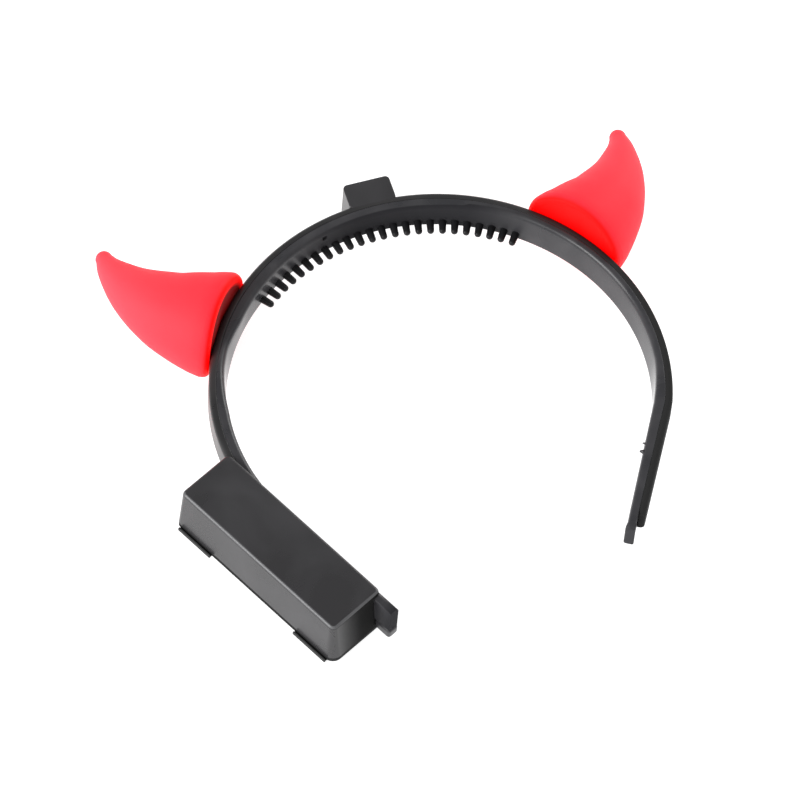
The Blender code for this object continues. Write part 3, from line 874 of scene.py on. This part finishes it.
def makeBatteryHousing():
    bm = bmesh.new()
    top = batteryBox["top"]
    ends = (True, False)
    tight = {(start, outer): batteryBox["rimCorner"] for start in ends for outer in ends}
    low = footOutline(bm, batteryBox["foot"]["height"])
    high = roundedOutline(bm, (top["x"], top["y"]), top["height"], tight)
    draftedBlock(bm, low, high)
    bmesh.ops.bevel(bm, geom=high.edges[:], offset=batteryBox["edge"], segments=6, profile=0.5,
                    affect="EDGES", material=-1)
    cap = max(bm.faces, key=lambda f: (round(f.calc_center_median().z, 6), f.calc_area()))
    bmesh.ops.inset_individual(bm, faces=[cap], thickness=batteryBox["capInset"], depth=0)
    # painted highlight along the top edges, full on the outer and near sides; the near end gets painted
    # shade, darker and rougher, towards the head
    scratchAndHighlight = bm.verts.layers.float.new("scratchAndHighlight")
    mattAndShade = bm.verts.layers.float.new("mattAndShade")
    highlightDepth = batteryBox["edge"] * batteryBox["highlightShare"]
    shadeStart = batteryBox["foot"]["y"][0] + batteryBox["shadeClear"]
    for vert in bm.verts:
        below = top["height"] - vert.co.z
        outer = vert.co.y < top["y"][0] + batteryBox["topCorner"]
        near = vert.co.x > top["x"][1] - batteryBox["topCorner"]
        if abs(below - highlightDepth) < batteryBox["highlightReach"]:
            vert[scratchAndHighlight] = 1.0 if outer or near else batteryBox["highlightElsewhere"]
        if near and below > batteryBox["shadeBelow"] and vert.co.y > shadeStart:
            vert[mattAndShade] = batteryBox["shadeOuter"] if vert.co.y < 0 else batteryBox["shadeInner"]
    bm.transform(armFrame("left"))
    finishPiece("batteryHousing", bm, coverPlastic, ["outer_cover"])


def makeBatteryDoor():
    bm = bmesh.new()
    foot = footOutline(bm, batteryBox["doorFoot"])
    top = footOutline(bm, batteryBox["doorTop"])
    draftedBlock(bm, foot, top)
    rims = foot.edges[:] + top.edges[:]
    bmesh.ops.bevel(bm, geom=rims, offset=batteryBox["doorEdge"], segments=3, profile=0.5,
                    affect="EDGES", material=-1)
    # each finger ledge is a bar in front of a lower plate
    outer, low, inset = doorLedge["outer"], doorLedge["low"], doorLedge["plateInset"]
    for start in doorLedge["starts"]:
        end = start + doorLedge["length"]
        roundedBox(bm, (start, outer, low), (end, outer + doorLedge["bar"], doorLedge["high"]),
                   doorLedge["edge"], 2)
        roundedBox(bm, (start + inset, outer + inset, low + inset),
                   (end - inset, outer + doorLedge["plateWidth"], doorLedge["plate"]),
                   doorLedge["edge"], 2)
    # painted highlight on the ledge bars' outer fronts; painted shade, darker and rougher, on the rest of
    # the ledges outside the footprint
    mattAndShade = bm.verts.layers.float.new("mattAndShade")
    scratchAndHighlight = bm.verts.layers.float.new("scratchAndHighlight")
    for vert in bm.verts:
        raised = vert.co.z > doorLedge["plate"] + inset
        onBar = raised and vert.co.y < outer + doorLedge["highlightWidth"]
        vert[scratchAndHighlight] = 1.0 if onBar else 0.0
        vert[mattAndShade] = 1.0 if vert.co.y < batteryBox["foot"]["y"][0] and not onBar else 0.0
    bm.transform(armFrame("left"))
    finishPiece("batteryDoor", bm, doorPlastic, ["battery_door"])


makeBatteryHousing()
makeBatteryDoor()
print("cover, lug, battery box ready")

# Horns: soft hollow mouldings on the outer face of the band
horns = {
    # the last value puts painted red light on the flat back: on for the right horn, off for the left
    "left": {"angle": radians(144.1), "turn": -1, "stretch": 1.048, "flare": 0.03, "paintedBackGlow": 0.0},
    "right": {"angle": radians(37.0), "turn": 1, "stretch": 0.948, "flare": 0.06, "paintedBackGlow": 1.0},
}
hornShape = {
    "height": 5.4 * mm,
    "gap": 0.3 * mm,
    "sides": 64,
    "tipRings": 7,
    # the rim in millimetres; its painted shade and painted red light are full at the back and fade over
    # the first steps
    "rimDepth": 2.4,
    "rimRound": 1.9,
    "rimSteps": 8,
    "rimPaintStart": 2.6,
    "rimFade": 3.2,
    "backInset": 1.6,
    # the rings turn to follow the middle line from here and over this much, in millimetres
    "turnStart": 2.5,
    "turnOver": 13.0,
    "saddleReach": 18.0 * mm,
    "flareReach": 13.0 * mm,
    # distance out from the seat, lean towards the lug, radius, in millimetres
    "sections": ((2.4, -0.1, 15.2), (4.0, -0.3, 14.9), (6.0, -0.63, 14.33), (10.0, -0.83, 13.18),
                 (14.0, -0.7, 11.85), (18.0, -0.1, 10.5), (22.0, 0.8, 9.0), (26.0, 2.15, 7.35),
                 (30.0, 4.1, 5.6), (33.6, 6.35, 3.85), (36.1, 8.7, 2.45)),
    "between": 4,
}


def hornSeat(side):
    horn = horns[side]
    point, normal = arcPoint(horn["angle"])
    placed = Matrix.Identity(4)
    placed.col[0] = (-horn["turn"] * normal.y, horn["turn"] * normal.x, 0, 0)
    placed.col[1] = (0, 0, horn["turn"], 0)
    placed.col[2] = (normal.x, normal.y, 0, 0)
    placed.col[3] = (point.x, point.y, hornShape["height"], 1)
    return placed


def blendSections(rows, between):
    # Catmull-Rom between the given sections
    smooth = []
    for index in range(len(rows) - 1):
        four = [Vector(rows[min(max(index + k, 0), len(rows) - 1)]) for k in (-1, 0, 1, 2)]
        for step in range(between):
            t = step / between
            smooth.append(0.5 * (2 * four[1] + (four[2] - four[0]) * t
                                 + (2 * four[0] - 5 * four[1] + 4 * four[2] - four[3]) * t * t
                                 + (3 * four[1] - four[0] - 3 * four[2] + four[3]) * t ** 3))
    smooth.append(Vector(rows[-1]))
    return smooth


def hornRings(stretch):
    # place, axis, radius, share of the length and the rim's painted shade and light, from the back to the
    # tip
    up = Vector((0, 0, 1))
    base, gap = hornShape["sections"][0][2], hornShape["gap"]
    deep, wide = hornShape["rimDepth"], hornShape["rimRound"]
    rings = [(Vector((0, 0, gap)), up, (base - wide - hornShape["backInset"]) * mm, 0.0, 1.0)]
    for step in range(hornShape["rimSteps"]):
        angle = pi / 2 * step / hornShape["rimSteps"]
        out = deep * (1 - cos(angle))
        paintedRim = clamp(hornShape["rimPaintStart"] - hornShape["rimFade"] * step / hornShape["rimSteps"])
        rings.append((Vector((0, 0, gap + out * mm)), up, (base - wide * (1 - sin(angle))) * mm,
                      0.0, paintedRim))
    rows = blendSections(hornShape["sections"], hornShape["between"])
    seats = [Vector((lean * mm, 0, gap + (deep + stretch * (out - deep)) * mm))
             for out, lean, radius in rows]
    for index, (out, lean, radius) in enumerate(rows):
        before, after = seats[max(index - 1, 0)], seats[min(index + 1, len(seats) - 1)]
        slant = clamp((out - hornShape["turnStart"]) / hornShape["turnOver"])
        axis = up.lerp((after - before).normalized(), slant * slant * (3 - 2 * slant)).normalized()
        rings.append((seats[index], axis, radius * mm, index / len(seats), 0.0))
    centre, axis, radius = rings[-1][:3]
    for step in range(1, hornShape["tipRings"]):
        angle = pi / 2 * step / hornShape["tipRings"]
        rings.append((centre + axis * radius * sin(angle), axis, radius * cos(angle), 1.0, 0.0))
    return rings, centre + axis * radius


def ringFrame(place, axis, size):
    across = Vector((0, 1, 0))
    lean = across.cross(axis).normalized()
    placed = Matrix.Identity(4)
    for column, direction in enumerate((lean, across, axis)):
        placed.col[column] = (direction.x * size, direction.y * size, direction.z * size, 0)
    placed.col[3] = (place.x, place.y, place.z, 1)
    return placed


def seatOnBand(bm, flare):
    # the open end spreads towards the lug and follows the curve of the band
    for vert in bm.verts:
        low = clamp(1 - vert.co.z / hornShape["flareReach"])
        if vert.co.x > 0:
            vert.co.x *= 1 + flare * low * low
        share = clamp(1 - (vert.co.z - hornShape["gap"]) / hornShape["saddleReach"])
        vert.co.z -= share ** 2 * vert.co.x ** 2 / (2 * headArc["radius"])


def makeHorn(side):
    bm = bmesh.new()
    lengthShare = bm.verts.layers.float.new("lengthShare")
    flatBack = bm.verts.layers.float.new("flatBack")
    paintedBackGlow = bm.verts.layers.float.new("paintedBackGlow")
    rings, tip = hornRings(horns[side]["stretch"])
    frames = [ringFrame(*ring[:3]) for ring in rings]
    bmesh.ops.create_circle(bm, cap_ends=True, segments=hornShape["sides"], radius=1.0)
    face = bm.faces[:][0]
    bmesh.ops.transform(bm, matrix=frames[0], verts=face.verts[:])
    # the flat back and the rim rings carry the painted shade and the painted red light
    for vert in face.verts:
        vert[flatBack] = 1.0
        vert[paintedBackGlow] = horns[side]["paintedBackGlow"]
    for index in range(1, len(frames)):
        face = growCap(bm, face, index == 1)
        step = frames[index] @ frames[index - 1].inverted()
        bmesh.ops.transform(bm, matrix=step, verts=face.verts[:])
        for vert in face.verts:
            vert[lengthShare] = rings[index][3]
            vert[flatBack] = rings[index][4]
            vert[paintedBackGlow] = rings[index][4]
    pole = bmesh.ops.poke(bm, faces=[face])["verts"][0]
    pole.co = tip
    seatOnBand(bm, horns[side]["flare"])
    bm.transform(hornSeat(side))
    finishPiece("horn_" + side + "_soft", bm, hornPlastic, ["horn_" + side],
                75, crisp=False)


for side in horns:
    makeHorn(side)
print("horns ready")

# Floor, light and camera
studio = {
    "floorSize": 4.0,
    "floorColour": (0.62, 0.62, 0.62, 1),
    "floorGlow": 0.80,
    "floorRoughness": 0.9,
    "floorSpecular": 0.1,
    "skyColour": (1.0, 1.0, 1.0, 1),
    "skyStrength": 0.45,
    "lights": (
        # name, place, target, size, watts
        ("leftSoftbox", (-1.15, -0.12, 0.52), (0.0, 0.0, 0.0), 0.65, 13.0),
        ("frontSoftbox", (-0.95, -0.95, 0.75), (0.0, 0.0, 0.0), 0.7, 4.0),
        ("rightSoftbox", (1.15, 0.65, 0.60), (0.0, 0.0, 0.0), 0.8, 9.0),
    ),
}


def makeStudio():
    bm = bmesh.new()
    bmesh.ops.create_grid(bm, x_segments=8, y_segments=8, size=studio["floorSize"] / 2)
    mesh = bpy.data.meshes.new("paleFloor")
    bm.to_mesh(mesh)
    bm.free()
    floor = bpy.data.objects.new("paleFloor", mesh)
    bpy.context.scene.collection.objects.link(floor)
    material = bpy.data.materials.new("paleFloor")
    material.use_nodes = True
    shader = material.node_tree.nodes["Principled BSDF"]
    shader.inputs["Base Color"].default_value = studio["floorColour"]
    shader.inputs["Roughness"].default_value = studio["floorRoughness"]
    shader.inputs["Specular IOR Level"].default_value = studio["floorSpecular"]
    shader.inputs["Emission Color"].default_value = (1, 1, 1, 1)
    shader.inputs["Emission Strength"].default_value = studio["floorGlow"]
    mesh.materials.append(material)
    world = bpy.context.scene.world or bpy.data.worlds.new("studioWorld")
    bpy.context.scene.world = world
    world.use_nodes = True
    sky = world.node_tree.nodes.get("Background") or world.node_tree.nodes.new("ShaderNodeBackground")
    sky.inputs["Color"].default_value = studio["skyColour"]
    sky.inputs["Strength"].default_value = studio["skyStrength"]
    for name, place, target, size, watts in studio["lights"]:
        lamp = bpy.data.lights.new(name, "AREA")
        lamp.size = size
        lamp.energy = watts
        holder = bpy.data.objects.new(name, lamp)
        holder.location = place
        holder.rotation_euler = (Vector(target) - Vector(place)).to_track_quat("-Z", "Y").to_euler()
        bpy.context.scene.collection.objects.link(holder)


cameraSetup = {
    "place": (-0.439024, -1.127332, 1.869783),
    "turn": (radians(32.952848), radians(-2.131225), radians(-17.568285)),
    "lens": 360.0,
    "sensor": 36.0,
    "farthest": 20.0,
}


def makeCamera():
    camera = bpy.data.cameras.new("photoCamera")
    camera.lens = cameraSetup["lens"]
    camera.sensor_width = cameraSetup["sensor"]
    camera.clip_end = cameraSetup["farthest"]
    holder = bpy.data.objects.new("photoCamera", camera)
    holder.location = cameraSetup["place"]
    holder.rotation_euler = cameraSetup["turn"]
    bpy.context.scene.collection.objects.link(holder)
    bpy.context.scene.camera = holder


makeStudio()
makeCamera()
bpy.context.scene.view_settings.view_transform = "Standard"
bpy.context.view_layer.update()
print("studio and camera ready")
